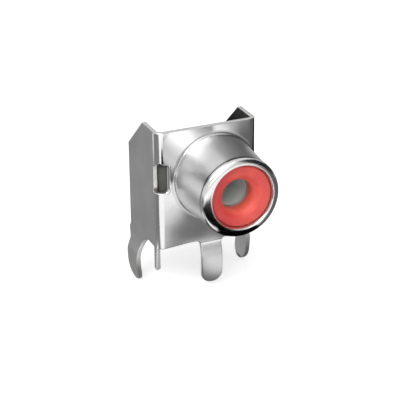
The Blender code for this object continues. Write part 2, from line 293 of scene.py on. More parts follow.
def rounded(corners):
    """Turn (x, y, radius) corners into a closed outline with arcs at the corners."""
    points = []
    count = len(corners)
    for index, (x, y, radius) in enumerate(corners):
        here = Vector((x, y))
        before = Vector(corners[index - 1][:2]) - here
        after = Vector(corners[(index + 1) % count][:2]) - here
        half = before.angle(after) / 2
        if radius <= 0 or half > NEARLY_STRAIGHT:
            points.append(here)
            continue
        shorter = min(before.length, after.length)
        reach = min(radius / math.tan(half), shorter / SIDE_SPLIT)
        true_radius = reach * math.tan(half)
        middle = (before.normalized() + after.normalized()).normalized()
        centre = here + middle * (true_radius / math.sin(half))
        start = here + before.normalized() * reach - centre
        end = here + after.normalized() * reach - centre
        turn = start.angle_signed(end)
        for step in range(CORNER_STEPS + 1):
            spin = Matrix.Rotation(-turn * step / CORNER_STEPS, 2)
            points.append(centre + spin @ start)
    return points


def subdivided(points, longest):
    """Add points to a closed outline so that no edge is longer than a length."""
    result = []
    for index, point in enumerate(points):
        following = points[(index + 1) % len(points)]
        steps = max(1, math.ceil((following - point).length / longest))
        result += [point.lerp(following, step / steps) for step in range(steps)]
    return result


def signed_area(points):
    total = 0.0
    for index, point in enumerate(points):
        total += points[index - 1].cross(point)
    return total / 2


def outline_normals(points):
    """Unit normals to the left of a closed outline, and how much each corner stretches.

    The stretch is held at twice, for corners that are sharper.
    """
    normals = []
    for index, point in enumerate(points):
        before = (point - points[index - 1]).normalized()
        after = (points[(index + 1) % len(points)] - point).normalized()
        along = (before + after).normalized()
        normal = Vector((-along.y, along.x))
        stretch = 1 / max(0.5, normal.dot(Vector((-before.y, before.x))))
        normals.append((normal, stretch))
    return normals


def left_u(depth):
    return -(PLATE_LEFT - BEND_RADIUS + BEND_ARC + depth - BEND_RADIUS)


def right_u(depth):
    return PLATE_RIGHT - BEND_RADIUS + BEND_ARC + depth - BEND_RADIUS


def flange_corners(place):
    return [
        (place(LEG_FRONT), 0.0, LEG_ROOT_FILLET),
        (place(LEG_FRONT), -LEG_TIP, LEG_TIP_RADIUS),
        (place(LEG_REAR), -LEG_TIP, LEG_TIP_RADIUS),
        (place(LEG_REAR), -LEG_SHOULDER, LEG_SHOULDER_RADIUS),
        (place(FLANGE_DEPTH), -LEG_STEP, LEG_STEP_RADIUS),
        (place(FLANGE_DEPTH), EAR_END, CORNER),
        (place(EAR_LEVEL), PLATE_TOP + EAR_RISE, CORNER),
    ]


def blank_outline():
    """The flat blank: u runs along the sheet from the barrel's axis, and z is the height."""
    pin_back = left_u(PIN_BACK)
    pin_front = pin_back + PIN_WIDTH
    bottom = [
        (pin_back, 0.0, CORNER),
        (pin_back, -PIN_TIP, PIN_TIP_RADIUS),
        (pin_front, -PIN_TIP, PIN_TIP_RADIUS),
        (pin_front, 0.0, CORNER),
        (-PLATE_LEFT + BEND_RADIUS, 0.0, 0.0),
        (-GROUND_LEFT - GROUND_REACH, GROUND_RELIEF, 0.0),
        (-GROUND_LEFT, GROUND_RELIEF, GROUND_FILLET),
        (-GROUND_LEFT, -GROUND_TIP, GROUND_TIP_RADIUS),
        (GROUND_RIGHT, -GROUND_TIP, GROUND_TIP_RADIUS),
        (GROUND_RIGHT, GROUND_RELIEF, GROUND_FILLET),
        (GROUND_RIGHT + GROUND_REACH, 0.0, 0.0),
    ]
    left_side = list(reversed(flange_corners(left_u)))
    return rounded(left_side + bottom + flange_corners(right_u))


def window_outline():
    back = left_u(WINDOW_BACK)
    peak = -(PLATE_LEFT - BEND_RADIUS + BEND_ARC / 3)
    return rounded([
        (back, WINDOW_BOTTOM, WINDOW_EDGE),
        (-WINDOW_RIGHT, WINDOW_BOTTOM, WINDOW_CORNER),
        (-WINDOW_RIGHT, WINDOW_SIDE_TOP, WINDOW_EDGE),
        (peak, WINDOW_PEAK, WINDOW_EDGE),
        (back, WINDOW_SIDE_TOP, WINDOW_EDGE),
    ])


def bow(u, z):
    """How far a leg stands out from its own plane at a height below the board."""
    if z >= 0:
        return 0.0
    ground = abs(u) < PLATE_RIGHT - BEND_RADIUS
    softness = GROUND_SOFTNESS if ground else BOW_SOFTNESS
    drop = math.hypot(z, softness) - softness
    rise = GROUND_RISE if ground else BOW_RISE
    if drop < rise:
        share = math.sin(math.pi / 2 * drop / rise)
    else:
        share = math.cos(math.pi / 2 * (drop - rise) / BOW_FALL)
    if ground:
        return GROUND_BOW * share
    middle = (PIN_BACK + LEG_FRONT) / 2
    on_leg = u < left_u(middle) or u > right_u(middle)
    return LEG_BOW * share if on_leg else 0.0


def folded(place):
    """Where a point of the blank goes; its y is the depth inwards from the outer face."""
    u, depth, z = place
    side = -1 if u < 0 else 1
    flat = (PLATE_LEFT if u < 0 else PLATE_RIGHT) - BEND_RADIUS
    along = abs(u)
    out = bow(u, z)
    if along <= flat:
        return Vector((u, depth - out, z))
    if along < flat + BEND_ARC:
        angle = (along - flat) / BEND_RADIUS
        radius = BEND_RADIUS - depth
        return Vector((side * (flat + radius * math.sin(angle)),
                       BEND_RADIUS - radius * math.cos(angle), z))
    x = flat + BEND_RADIUS - depth + out
    return Vector((side * x, BEND_RADIUS + along - flat - BEND_ARC, z))


def folded_normal(place, normal):
    """Turn a normal of the flat blank with the sheet, through the fold's own derivatives."""
    step = 1e-3
    columns = []
    for axis in range(3):
        ahead, behind = place.copy(), place.copy()
        ahead[axis] += step
        behind[axis] -= step
        columns.append((folded(ahead) - folded(behind)) / (2 * step))
    jacobian = Matrix(columns).transposed()
    return (jacobian.inverted_safe().transposed() @ normal).normalized()


def cone_radius(y):
    """Outer radius of the barrel's wall at a place in front of the plate, or a little behind."""
    return CONE_BACK + (CONE_FRONT - CONE_BACK) * (-y / BARREL_LENGTH)


# Mesh making

def in_scene(name, data):
    obj = bpy.data.objects.new(name, data)
    bpy.context.collection.objects.link(obj)
    return obj


class Build:
    """A mesh in millimetres with a smooth normal for each of its points."""

    def __init__(self):
        self.bm = bmesh.new()
        self.normal = self.bm.verts.layers.float_vector.new("smooth_normal")
        self.angle = self.bm.verts.layers.float.new("barrel_angle")

    def point(self, place, normal):
        vert = self.bm.verts.new(place)
        vert[self.normal] = normal
        return vert

    def strip(self, first, second, finish=0):
        """Join two closed rows of points with four-sided faces, in one of the finishes."""
        count = len(first)
        for index in range(count):
            after = (index + 1) % count
            corners = (first[index], first[after], second[after], second[index])
            self.bm.faces.new(corners).material_index = finish

    def finish(self, name):
        """The mesh as an object; a point whose normal was left at zero gets its faces' own."""
        bm = self.bm
        bmesh.ops.recalc_face_normals(bm, faces=bm.faces)
        normals = []
        for vert in bm.verts:
            wanted = Vector(vert[self.normal])
            if wanted.length < 0.5:
                wanted = vert.normal.copy()
            normals.append(wanted.normalized())
            vert.co *= MM
        mesh = bpy.data.meshes.new(name)
        bm.to_mesh(mesh)
        bm.free()
        mesh.shade_smooth()
        mesh.normals_split_custom_set_from_vertices(normals)
        for layer in ("smooth_normal", "barrel_angle"):
            mesh.attributes.remove(mesh.attributes[layer])
        return in_scene(name, mesh)


def spaced(first, last, steps):
    """Points between two others, without either of them."""
    start, end = Vector(first), Vector(last)
    return [tuple(start.lerp(end, step / steps)) for step in range(1, steps)]


def on_ring(angle, radius, y):
    return Vector((radius * math.cos(angle), y, AXIS_HEIGHT + radius * math.sin(angle)))


def radial(angle, out, along):
    return Vector((out * math.cos(angle), along, out * math.sin(angle)))


def barrel_crossing(angle, depth, wall):
    """Where the barrel's wall meets the sheet, as (radius, y, angle round the fold).

    The sheet is flat there, except where the barrel runs out into the right-hand fold.
    """
    flat = PLATE_RIGHT - BEND_RADIUS
    bend = BEND_RADIUS - depth
    low, high = depth, BEND_RADIUS
    if (cone_radius(depth) - wall) * math.cos(angle) <= flat:
        return cone_radius(depth) - wall, depth, 0.0
    for _ in range(CROSSING_ROUNDS):
        y = (low + high) / 2
        surface = flat + math.sqrt(max(0.0, bend ** 2 - (BEND_RADIUS - y) ** 2))
        if (cone_radius(y) - wall) * math.cos(angle) > surface:
            low = y
        else:
            high = y
    turn = math.acos(min(1.0, (BEND_RADIUS - y) / bend))
    return cone_radius(y) - wall, y, turn


def root_in_blank(angle, depth, wall, fillet):
    """The blank's point a fillet's width outside the line where the barrel meets the sheet."""
    radius, y, turn = barrel_crossing(angle, depth, wall)
    crossing = on_ring(angle, radius, y)
    u = crossing.x if turn == 0.0 else PLATE_RIGHT - BEND_RADIUS + BEND_RADIUS * turn
    rise = crossing.z - AXIS_HEIGHT
    out = Vector((u, rise)).normalized() * fillet
    return Vector((u + out.x, depth, AXIS_HEIGHT + rise + out.y))


def lip_overlap(angle):
    """How much further than usual the lip lies over the bush, as it does at the lower left."""
    turn = angle - math.radians(LIP_OVERLAP_ANGLE)
    return LIP_OVERLAP * ((1 + math.cos(turn)) / 2) ** LIP_OVERLAP_SPREAD


def ellipse(centre, radii, start, end, steps):
    """Points of an elliptic arc, and its normals."""
    points, normals = [], []
    for step in range(steps + 1):
        turn = math.radians(start + (end - start) * step / steps)
        points.append((centre[0] + radii[0] * math.cos(turn),
                       centre[1] + radii[1] * math.sin(turn)))
        normal = Vector((math.cos(turn) / radii[0], math.sin(turn) / radii[1]))
        normals.append(normal.normalized())
    return points, normals


def roll_profile(overlap):
    """The barrel's wall from its root forwards, round the rolled lip and back inside."""
    crest = LIP_CREST + overlap
    front = LIP_ROLL + LIP_BULGE * overlap
    middle = (LIP_RADIUS - crest, -BARREL_LENGTH)
    within = 2 * LIP_ROLL - LIP_CREST
    start = math.degrees(math.acos((CONE_FRONT - middle[0]) / crest))
    outer, outer_normals = ellipse(middle, (crest, front), start, -90, LIP_OUTER_STEPS)
    inner, inner_normals = ellipse(middle, (within, front), -90, -180, LIP_INNER_STEPS)
    behind, behind_normals = ellipse(middle, (within, LIP_ROLL), -180, -240, LIP_BEHIND_STEPS)
    groove = (cone_radius(outer[0][1]), outer[0][1])
    root = (cone_radius(-BASE_FILLET), -BASE_FILLET)
    outside = spaced(root, groove, WALL_STEPS) + [groove]
    inner += behind[1:]
    inner_normals += behind_normals[1:]
    end = (cone_radius(-HALF_WAY) - SHEET, -HALF_WAY)
    inside = spaced(inner[-1], end, INSIDE_STEPS)
    wall = (CONE_FRONT - CONE_BACK, -BARREL_LENGTH)
    slope = Vector((-wall[1], wall[0])).normalized()
    points = outside + outer[1:] + inner[1:] + inside
    normals = [slope] * len(outside) + outer_normals[1:] + inner_normals[1:]
    return points, normals + [-slope] * len(inside)


def add_fillet(build, ring, depth, wall, target_y, outward):
    """Rows of points from a ring on the sheet to the barrel's wall, smooth at both ends."""
    rows = [[vert for _, _, vert in ring]]
    for step in range(1, FILLET_STEPS + 1):
        t = step / FILLET_STEPS
        row = []
        for angle, start, _ in ring:
            radius, y, _turn = barrel_crossing(angle, depth, wall)
            corner = on_ring(angle, radius, y)
            end = on_ring(angle, cone_radius(target_y) - wall, target_y)
            place = start * (1 - t) ** 2 + corner * (2 * t * (1 - t)) + end * t ** 2
            tangent = (corner - start) * (1 - t) + (end - corner) * t
            around = radial(angle + math.pi / 2, 1.0, 0.0)
            row.append(build.point(place, tangent.cross(around).normalized() * outward))
        rows.append(row)
    for first, second in zip(rows, rows[1:]):
        build.strip(first, second)
    return rows[-1]


def revolved_rows(build, profile, angles):
    """A ring of points about the barrel's axis for each point of a (radius, y) profile."""
    sections = [profile(lip_overlap(angle)) for angle in angles]
    rows = []
    for index in range(len(sections[0][0])):
        row = []
        for angle, (points, normals) in zip(angles, sections):
            turned = radial(angle, normals[index].x, normals[index].y)
            row.append(build.point(on_ring(angle, *points[index]), turned))
        rows.append(row)
    return rows


def loop_edges(bm, row):
    return [bm.edges.get((row[index - 1], row[index])) for index in range(len(row))]


def outer_round(point):
    """Rounding of the outer face's edge: the press drew the window's right-hand side in."""
    in_window = WINDOW_BOTTOM - WINDOW_MARGIN < point.y < WINDOW_PEAK + WINDOW_MARGIN
    on_right = -WINDOW_RIGHT - WINDOW_BAND < point.x < 0
    return WINDOW_ROUND if in_window and on_right else OUTER_ROUND


def rim_sections(outer):
    """The rounded cut edge as rows of (inset, depth, outward and inward part of the normal)."""
    rims = []
    for step in range(OUTER_RIM_STEPS + 1):
        turn = math.radians(90 * step / OUTER_RIM_STEPS)
        rims.append((outer * (1 - math.sin(turn)), outer * (1 - math.cos(turn)),
                     math.sin(turn), -math.cos(turn)))
    for step in range(INNER_RIM_STEPS + 1):
        turn = math.radians(90 * step / INNER_RIM_STEPS)
        rims.append((INNER_ROUND * (1 - math.cos(turn)),
                     SHEET - INNER_ROUND * (1 - math.sin(turn)),
                     math.cos(turn), math.sin(turn)))
    return rims


def add_rim(build, loop):
    """The cut edge along one outline of the blank; gives its outer and inner row."""
    rows = []
    turned = outline_normals(loop)
    sections = [rim_sections(outer_round(point)) for point in loop]
    for index in range(len(sections[0])):
        row = []
        for point, (inward, stretch), section in zip(loop, turned, sections):
            inset, depth, out, deep = section[index]
            place = point + inward * (inset * stretch)
            normal = Vector((-inward.x * out, deep, -inward.y * out))
            row.append(build.point(Vector((place.x, depth, place.y)), normal))
        rows.append(row)
    for index, (first, second) in enumerate(zip(rows, rows[1:])):
        build.strip(first, second, CUT_EDGE if index >= FIRST_SHEARED_ROW else 0)
    return rows[0], rows[-1]


def add_slab(build, loops):
    """The flat blank's two faces and its rounded cut edges, in (u, depth, z)."""
    bm = build.bm
    front, back = [], []
    for loop in loops:
        outer, inner = add_rim(build, loop)
        front += loop_edges(bm, outer)
        back += loop_edges(bm, inner)
    for edges, depth, wall, facing in ((front, 0.0, 0.0, -1), (back, SHEET, SHEET, 1)):
        ring = []
        for step in range(ROUND_SEGMENTS):
            angle = -math.pi + 2 * math.pi * (step + 0.5) / ROUND_SEGMENTS
            blank = root_in_blank(angle, depth, wall, BASE_FILLET)
            vert = build.point(blank, Vector((0, facing, 0)))
            vert[build.angle] = angle
            ring.append(vert)
        edges += [bm.edges.new((ring[index - 1], ring[index])) for index in range(len(ring))]
        bmesh.ops.triangle_fill(bm, edges=edges, use_beauty=True)


def cut_for_bends(bm):
    """Cut the flat blank across its folds and legs, so that its faces can bend there."""
    cuts = []
    for start in (-(PLATE_LEFT - BEND_RADIUS + BEND_ARC), PLATE_RIGHT - BEND_RADIUS):
        for step in range(BEND_STEPS + 1):
            cuts.append(((start + BEND_ARC * step / BEND_STEPS, 0, 0), (1, 0, 0)))
    drop = 0.0
    while drop < max(LEG_TIP, GROUND_TIP):
        cuts.append(((0, 0, -drop), (0, 0, 1)))
        drop += BOW_STEP
    for point, normal in cuts:
        everything = bm.verts[:] + bm.edges[:] + bm.faces[:]
        bmesh.ops.bisect_plane(bm, geom=everything, dist=CUT_MERGE, plane_co=point,
                               plane_no=normal)


def build_shell():
    """The blank with rounded cut edges, folded, and the drawn barrel with its rolled lip."""
    build = Build()
    bm = build.bm
    loops = [subdivided(blank_outline(), EDGE_LENGTH), subdivided(window_outline(), EDGE_LENGTH)]
    if signed_area(loops[0]) < 0:
        loops[0].reverse()
    if signed_area(loops[1]) > 0:
        loops[1].reverse()
    add_slab(build, loops)
    cut_for_bends(bm)

    outer_ring, inner_ring = [], []
    for vert in bm.verts:
        if any(edge.is_boundary for edge in vert.link_edges):
            (outer_ring if vert.co.y < SHEET / 2 else inner_ring).append(vert)
    for vert in bm.verts:
        place = vert.co.copy()
        vert[build.normal] = folded_normal(place, Vector(vert[build.normal]).normalized())
        vert.co = folded(place)

    ends = []
    for verts, depth, target_y, outward in ((outer_ring, 0.0, -BASE_FILLET, -1),
                                            (inner_ring, SHEET, 0.0, 1)):
        ring = [(vert[build.angle], vert.co.copy(), vert) for vert in verts]
        ring.sort(key=lambda item: item[0])
        ends.append(add_fillet(build, ring, depth, depth, target_y, outward))
    angles = sorted(vert[build.angle] for vert in outer_ring)
    rows = [ends[0]] + revolved_rows(build, roll_profile, angles)
    for first, second in zip(rows, rows[1:]):
        build.strip(first, second)
    bridge = loop_edges(bm, rows[-1]) + loop_edges(bm, ends[1])
    bmesh.ops.bridge_loops(bm, edges=bridge)
    return build.finish("shell_fine")


# The other pieces

def turned_profile(corners, steps=PROFILE_STEPS):
    """A closed (radius, y, rounding) profile as points with exact normals, outside on the left."""
    points, normals = [], []
    count = len(corners)
    for index, (x, y, radius) in enumerate(corners):
        here = Vector((x, y))
        before = (Vector(corners[index - 1][:2]) - here).normalized()
        after = (Vector(corners[(index + 1) % count][:2]) - here).normalized()
        half = before.angle(after) / 2
        reach = radius / math.tan(half)
        bisector = (before + after).normalized()
        centre = here + bisector * (radius / math.sin(half))
        start = here + before * reach - centre
        turn = start.angle_signed(here + after * reach - centre)
        left = Vector((before.y, -before.x))
        sign = 1 if start.dot(left) > 0 else -1
        for step in range(steps + 1):
            offset = Matrix.Rotation(-turn * step / steps, 2) @ start
            points.append(centre + offset)
            normals.append(offset.normalized() * sign)
    return points, normals


def insulator_profile(overlap):
    rim = LIP_RADIUS - 2 * LIP_ROLL - SEAT - overlap
    shoulder = BARREL_LENGTH - LIP_ROLL - CLEARANCE
    counterbore = SLEEVE_OUTER + CLEARANCE
    wall_back = cone_radius(0.0) - SHEET - CLEARANCE
    wall_front = cone_radius(-shoulder) - SHEET - CLEARANCE
    return turned_profile([
        (wall_back, SHEET, 0.08),
        (wall_front, -shoulder, 0.05),
        (rim, -shoulder, 0.02),
        (rim, -DISH_RIM, 0.12),
        (rim - DISH_LAND, -DISH_RIM, 0.15),
        (PIN_BORE, -BORE_MOUTH, BORE_FLARE),
        (PIN_BORE, -SLEEVE_MOUTH - CLEARANCE, 0.03),
        (counterbore, -SLEEVE_MOUTH - CLEARANCE, 0.03),
        (counterbore, SHEET, 0.06),
    ])


def build_insulator():
    """The bush in the barrel: a raised rim, a dished face and the pin's bore."""
    build = Build()
    angles = [2 * math.pi * step / ROUND_SEGMENTS for step in range(ROUND_SEGMENTS)]
    rows = revolved_rows(build, insulator_profile, angles)
    for first, second in zip(rows, rows[1:] + rows[:1]):
        build.strip(first, second)
    return build.finish("insulator_fine")


def from_bmesh(name, bm):
    bmesh.ops.scale(bm, vec=(MM, MM, MM), verts=bm.verts)
    bmesh.ops.recalc_face_normals(bm, faces=bm.faces)
    mesh = bpy.data.meshes.new(name)
    bm.to_mesh(mesh)
    bm.free()
    mesh.shade_smooth()
    return in_scene(name, mesh)


def extruded(name, outline, direction, start, length):
    """A prism from a closed outline in two axes, along the third."""
    bm = bmesh.new()
    axes = [axis for axis in range(3) if axis != direction]
    verts = []
    for point in outline:
        place = [0.0, 0.0, 0.0]
        place[axes[0]], place[axes[1]], place[direction] = point[0], point[1], start
        verts.append(bm.verts.new(place))
    face = bm.faces.new(verts)
    swept = bmesh.ops.extrude_face_region(bm, geom=[face])["geom"]
    moved = [item for item in swept if isinstance(item, bmesh.types.BMVert)]
    shift = Vector((0, 0, 0))
    shift[direction] = length
    bmesh.ops.translate(bm, verts=moved, vec=shift)
    return from_bmesh(name, bm)


def boxed(name, low, high):
    bm = bmesh.new()
    bmesh.ops.create_cube(bm, size=1.0)
    for vert in bm.verts:
        for axis in range(3):
            vert.co[axis] = low[axis] if vert.co[axis] < 0 else high[axis]
    return from_bmesh(name, bm)


def settle(obj):
    """Replace an object's mesh by what its modifiers make of it."""
    graph = bpy.context.evaluated_depsgraph_get()
    mesh = bpy.data.meshes.new_from_object(obj.evaluated_get(graph))
    obj.modifiers.clear()
    obj.data = mesh


def apply_boolean(obj, tool, operation):
    modifier = obj.modifiers.new(tool.name, "BOOLEAN")
    modifier.operation = operation
    modifier.solver = "EXACT"
    modifier.object = tool
    settle(obj)
    bpy.data.objects.remove(tool, do_unlink=True)


def soften(obj, width, segments, angle):
    """Round an object's sharp edges and keep its flat faces flat in the light."""
    bevel = obj.modifiers.new("rounding", "BEVEL")
    bevel.width = width * MM
    bevel.segments = segments
    bevel.limit_method = "ANGLE"
    bevel.angle_limit = math.radians(angle)
    obj.modifiers.new("flat_faces", "WEIGHTED_NORMAL")
    settle(obj)


def round_outline(radius):
    turns = [2 * math.pi * step / HOLE_SEGMENTS for step in range(HOLE_SEGMENTS)]
    return [(radius * math.cos(turn), AXIS_HEIGHT + radius * math.sin(turn)) for turn in turns]


def build_sleeve():
    """A rolled sleeve with an open seam and a rounded lead-in for the plug's pin."""
    build = Build()
    points, normals = turned_profile([
        (SLEEVE_OUTER, -SLEEVE_MOUTH, SLEEVE_EDGE),
        (SLEEVE_RADIUS, -SLEEVE_MOUTH, SLEEVE_LEAD),
        (SLEEVE_RADIUS, SLEEVE_BACK, SLEEVE_EDGE),
        (SLEEVE_OUTER, SLEEVE_BACK, SLEEVE_EDGE),
    ], LEAD_STEPS)
    seam = SLEEVE_SEAM / SLEEVE_OUTER
    first = math.radians(SLEEVE_SEAM_ANGLE) + seam / 2
    rows = []
    for step in range(ROUND_SEGMENTS + 1):
        angle = first + (2 * math.pi - seam) * step / ROUND_SEGMENTS
        row = []
        for point, normal in zip(points, normals):
            turned = radial(angle, normal.x, normal.y)
            row.append(build.point(on_ring(angle, point.x, point.y), turned))
        rows.append(row)
    for before, after in zip(rows, rows[1:]):
        build.strip(before, after)
    for row in (rows[0], rows[-1]):
        build.bm.faces.new([build.point(vert.co, (0, 0, 0)) for vert in row])
    bmesh.ops.remove_doubles(build.bm, verts=build.bm.verts, dist=SEAM_MERGE)
    return build.finish("contact_fine")


def build_contact():
    """The sleeve, and a strip that runs back from it and down to the board."""
    contact = build_sleeve()
    top = AXIS_HEIGHT - SLEEVE_RADIUS
    under = top - SLEEVE_WALL
    first = SLEEVE_BACK - TAIL_LAP
    front = TAIL_BACK - SLEEVE_WALL
    side = rounded([
        (first, top, 0.0),
        (TAIL_BACK, top, TAIL_BEND),
        (TAIL_BACK, -TAIL_TIP, TAIL_TIP_RADIUS),
        (front, -TAIL_TIP, TAIL_TIP_RADIUS),
        (front, under, TAIL_BEND - SLEEVE_WALL),
        (first, under, 0.0),
    ])
    strip = extruded("tail", side, 0, -TAIL_WIDTH / 2, TAIL_WIDTH)
    apply_boolean(contact, strip, "UNION")
    soften(contact, CONTACT_ROUND, 2, 50)
    return contact


def build_body():
    """The moulded block behind the plate, with its collar and the slot for the tail."""
    left = -PLATE_LEFT + SHEET + CLEARANCE
    right = PLATE_RIGHT - SHEET - CLEARANCE
    body = boxed("body_fine", (left, BODY_FRONT, 0.0), (right, BODY_BACK, BODY_TOP))
    collar = extruded("collar", round_outline(COLLAR_RADIUS), 1, BODY_FRONT + COLLAR_STEP,
                      COLLAR_BACK - BODY_FRONT - COLLAR_STEP)
    apply_boolean(body, collar, "UNION")
    room = extruded("room", round_outline(SLEEVE_OUTER + CLEARANCE), 1, 0.0,
                    SLEEVE_BACK + CLEARANCE)
    apply_boolean(body, room, "DIFFERENCE")
    side = TAIL_WIDTH / 2 + CLEARANCE
    strip_top = AXIS_HEIGHT - SLEEVE_RADIUS + CLEARANCE
    strip_under = AXIS_HEIGHT - SLEEVE_OUTER - CLEARANCE
    tunnel = boxed("tunnel", (-side, SLEEVE_BACK - SLEEVE_WALL, strip_under),
                   (side, TAIL_BACK, strip_top))
    apply_boolean(body, tunnel, "DIFFERENCE")
    slot_front = TAIL_BACK - TAIL_BEND - CLEARANCE
    slot = boxed("slot", (-side, slot_front, -SHEET),
                 (side, BODY_BACK + SHEET, strip_top + SHEET))
    apply_boolean(body, slot, "DIFFERENCE")
    soften(body, BODY_ROUND, 3, 35)
    return body


# Materials

class Tree:
    """A node tree, with a short call for each kind of node that the looks use."""

    def __init__(self, owner):
        owner.use_nodes = True
        self.nodes = owner.node_tree.nodes
        self.links = owner.node_tree.links

    def put(self, value, socket):
        """Link an output to a socket, or set a plain number or colour on it."""
        if isinstance(value, bpy.types.NodeSocket):
            self.links.new(value, socket)
        elif socket.type == "RGBA":
            socket.default_value = (*value, 1.0)
        else:
            socket.default_value = value

    def maths(self, operation, first, *others):
        """Math nodes on outputs or plain numbers, taking in one of the others after another."""
        for other in others or (None,):
            node = self.nodes.new("ShaderNodeMath")
            node.operation = operation
            self.put(first, node.inputs[0])
            if other is not None:
                self.put(other, node.inputs[1])
            first = node.outputs[0]
        return first

    def ranged(self, value, low, high, start=0.3, end=0.7, shape="LINEAR"):
        """Goes from low to high as a value goes from start to end, and stays there beyond."""
        node = self.nodes.new("ShaderNodeMapRange")
        node.interpolation_type = shape
        names = ("Value", "From Min", "From Max", "To Min", "To Max")
        for name, item in zip(names, (value, start, end, low, high)):
            self.put(item, node.inputs[name])
        return node.outputs["Result"]

    def bell(self, value, middle, width):
        """1 at a value's middle, falling to nothing over a width on either side."""
        away = self.maths("ABSOLUTE", self.maths("SUBTRACT", value, middle))
        return self.ranged(away, 1.0, 0.0, 0.0, width)

    def mixed(self, factor, first, second):
        node = self.nodes.new("ShaderNodeMix")
        node.data_type = "RGBA"
        for name, item in zip(("Factor", "A", "B"), (factor, first, second)):
            self.put(item, node.inputs[name])
        return node.outputs["Result"]

    def tinted(self, value, colours):
        """Mottling between two colours, over the middle of a value's range."""
        ramp = self.nodes.new("ShaderNodeValToRGB")
        for element, position, colour in zip(ramp.color_ramp.elements, (0.35, 0.65), colours):
            element.position = position
            element.color = (*colour, 1.0)
        self.put(value, ramp.inputs["Fac"])
        return ramp.outputs["Color"]

    def noise(self, scale, detail, stretch=(1.0, 1.0, 1.0)):
        """Noise in the object's own millimetres, stretched along its axes."""
        place = self.nodes.new("ShaderNodeTexCoord")
        mapping = self.nodes.new("ShaderNodeMapping")
        noise = self.nodes.new("ShaderNodeTexNoise")
        self.put([value / MM for value in stretch], mapping.inputs["Scale"])
        self.put(scale, noise.inputs["Scale"])
        self.put(detail, noise.inputs["Detail"])
        self.put(place.outputs["Object"], mapping.inputs["Vector"])
        self.put(mapping.outputs["Vector"], noise.inputs["Vector"])
        return noise.outputs["Fac"]

    def bumped(self, height, depth, strength=1.0, under=None):
        """A bump of a depth in millimetres, on top of another one if there is one."""
        bump = self.nodes.new("ShaderNodeBump")
        self.put(strength, bump.inputs["Strength"])
        self.put(depth * MM, bump.inputs["Distance"])
        self.put(height, bump.inputs["Height"])
        if under is not None:
            self.put(under, bump.inputs["Normal"])
        return bump.outputs["Normal"]

    def place(self):
        """The object's own X, Y and Z."""
        place = self.nodes.new("ShaderNodeTexCoord")
        split = self.nodes.new("ShaderNodeSeparateXYZ")
        self.put(place.outputs["Object"], split.inputs[0])
        return split.outputs["X"], split.outputs["Y"], split.outputs["Z"]

    def barrel_place(self):
        """X, Y, height over the barrel's axis and distance from it, in millimetres."""
        x, y, z = (self.maths("DIVIDE", value, MM) for value in self.place())
        rise = self.maths("SUBTRACT", z, AXIS_HEIGHT)
        across, upright = (self.maths("MULTIPLY", value, value) for value in (x, rise))
        return x, y, rise, self.maths("SQRT", self.maths("ADD", across, upright))

    def background_rays(self):
        """1 for the rays that show a background: direct, mirrored or let through."""
        path = self.nodes.new("ShaderNodeLightPath").outputs
        return self.maths("MAXIMUM", path["Is Camera Ray"], path["Is Glossy Ray"],
                          path["Is Transmission Ray"])


def shaded(name):
    """A new material, its node tree and its shader's inputs."""
    material = bpy.data.materials.new(name)
    tree = Tree(material)
    return material, tree, tree.nodes["Principled BSDF"].inputs


def painted_shade_and_dullness(tree, x, y, rise, radius):
    """The barrel's root crease and the groove behind its lip: their painted shade, and how dull.
    """
    crease = tree.maths("MULTIPLY", tree.bell(radius, CREASE_RADIUS, CREASE_REACH),
                        tree.bell(y, CREASE_Y, CREASE_DEPTH))
    # Dull round the lower and right-hand side of the root
    low = tree.ranged(rise, CREASE_DULL, 0.0, -1.0, 1.0)
    low = tree.maths("MAXIMUM", low, tree.ranged(x, 0.0, CREASE_DULL, -1.5, 1.0))
    dull = tree.maths("MULTIPLY", crease, low)
    # Painted shade round its upper left
    left = tree.ranged(x, 1.0, 0.3, -2.5, 0.0)
    upper = tree.ranged(rise, 0.0, 1.0, 0.0, 1.5)
    crease = tree.ranged(crease, 0.0, 1.0, *CREASE_EDGE)
    crease = tree.maths("MULTIPLY", crease, left, upper)
    # Painted shade all round the groove behind the lip
    groove = tree.maths("MULTIPLY", tree.bell(y, GROOVE_Y, GROOVE_WIDTH),
                        tree.maths("GREATER_THAN", radius, LIP_CENTRE))
    dark = tree.maths("MAXIMUM", tree.maths("MULTIPLY", crease, CREASE_DARK),
                      tree.maths("MULTIPLY", groove, GROOVE_DARK))
    return dark, dull


